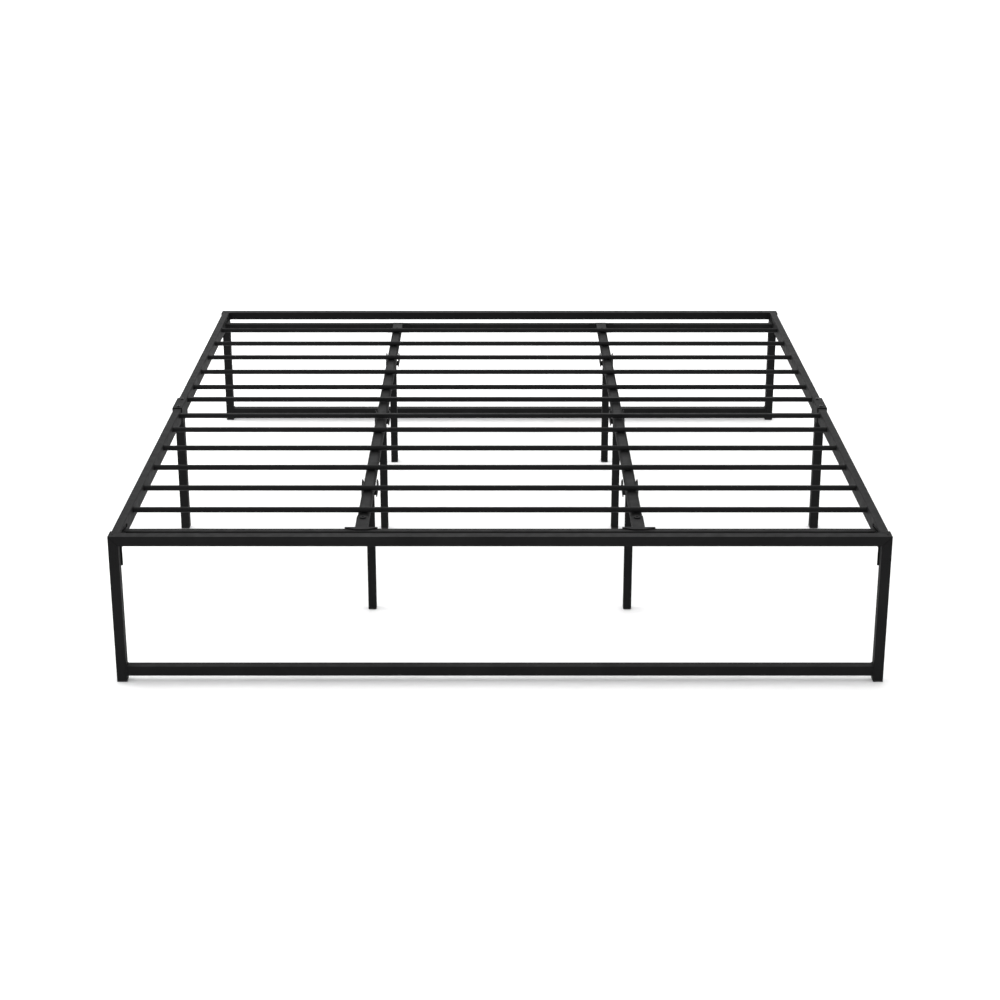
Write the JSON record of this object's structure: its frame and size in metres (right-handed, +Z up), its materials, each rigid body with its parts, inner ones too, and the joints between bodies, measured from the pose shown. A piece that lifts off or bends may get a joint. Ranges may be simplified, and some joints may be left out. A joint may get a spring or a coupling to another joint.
{
  "type": "metal bed frame",
  "caption": "Low black steel platform bed frame for a king mattress, with square end loops, side rails, round slats and two centre beams on legs.",
  "frame": {"origin": "on the floor under the middle of the frame", "axes": "+X to the right seen from the foot end, +Y from the foot end to the head end, +Z up"},
  "size_m": [1.933, 2.032, 0.3979],
  "materials": {
    "frame": "black satin powder coat on square tube",
    "slat": "black satin powder coat on round tube",
    "plate": "black satin powder coat on folded plate",
    "sleeve": "bare steel, hidden inside the tubes",
    "cap": "moulded black plastic"
  },
  "bodies": {
    "root": {"foot_bottom_bar": "frame", "foot_cross_tube": "frame", "foot_left_corner_bracket": "plate", "foot_left_foot_cap": "cap", "foot_left_leg": "frame", "foot_mid_bar": "slat", "foot_right_corner_bracket": "plate", "foot_right_foot_cap": "cap", "foot_right_leg": "frame", "foot_slat_1": "slat", "foot_slat_2": "slat", "foot_slat_3": "slat", "foot_slat_4": "slat", "foot_slat_5": "slat", "foot_top_rail": "frame", "head_bottom_bar": "frame", "head_cross_tube": "frame", "head_left_corner_bracket": "plate", "head_left_foot_cap": "cap", "head_left_leg": "frame", "head_mid_bar": "slat", "head_right_corner_bracket": "plate", "head_right_foot_cap": "cap", "head_right_leg": "frame", "head_slat_1": "slat", "head_slat_2": "slat", "head_slat_3": "slat", "head_slat_4": "slat", "head_slat_5": "slat", "head_top_rail": "frame", "left_beam_foot_half": "frame", "left_beam_head_half": "frame", "left_beam_sleeve": "sleeve", "left_centre_foot_cap_1": "cap", "left_centre_foot_cap_2": "cap", "left_centre_foot_cap_3": "cap", "left_centre_leg_1": "frame", "left_centre_leg_2": "frame", "left_centre_leg_3": "frame", "left_rail_foot_half": "frame", "left_rail_head_half": "frame", "left_rail_joint_cover": "plate", "left_rail_sleeve": "sleeve", "mid_left_foot_cap": "cap", "mid_left_leg": "frame", "mid_right_foot_cap": "cap", "mid_right_leg": "frame", "right_beam_foot_half": "frame", "right_beam_head_half": "frame", "right_beam_sleeve": "sleeve", "right_centre_foot_cap_1": "cap", "right_centre_foot_cap_2": "cap", "right_centre_foot_cap_3": "cap", "right_centre_leg_1": "frame", "right_centre_leg_2": "frame", "right_centre_leg_3": "frame", "right_rail_foot_half": "frame", "right_rail_head_half": "frame", "right_rail_joint_cover": "plate", "right_rail_sleeve": "sleeve"}
  },
  "joints": []
}
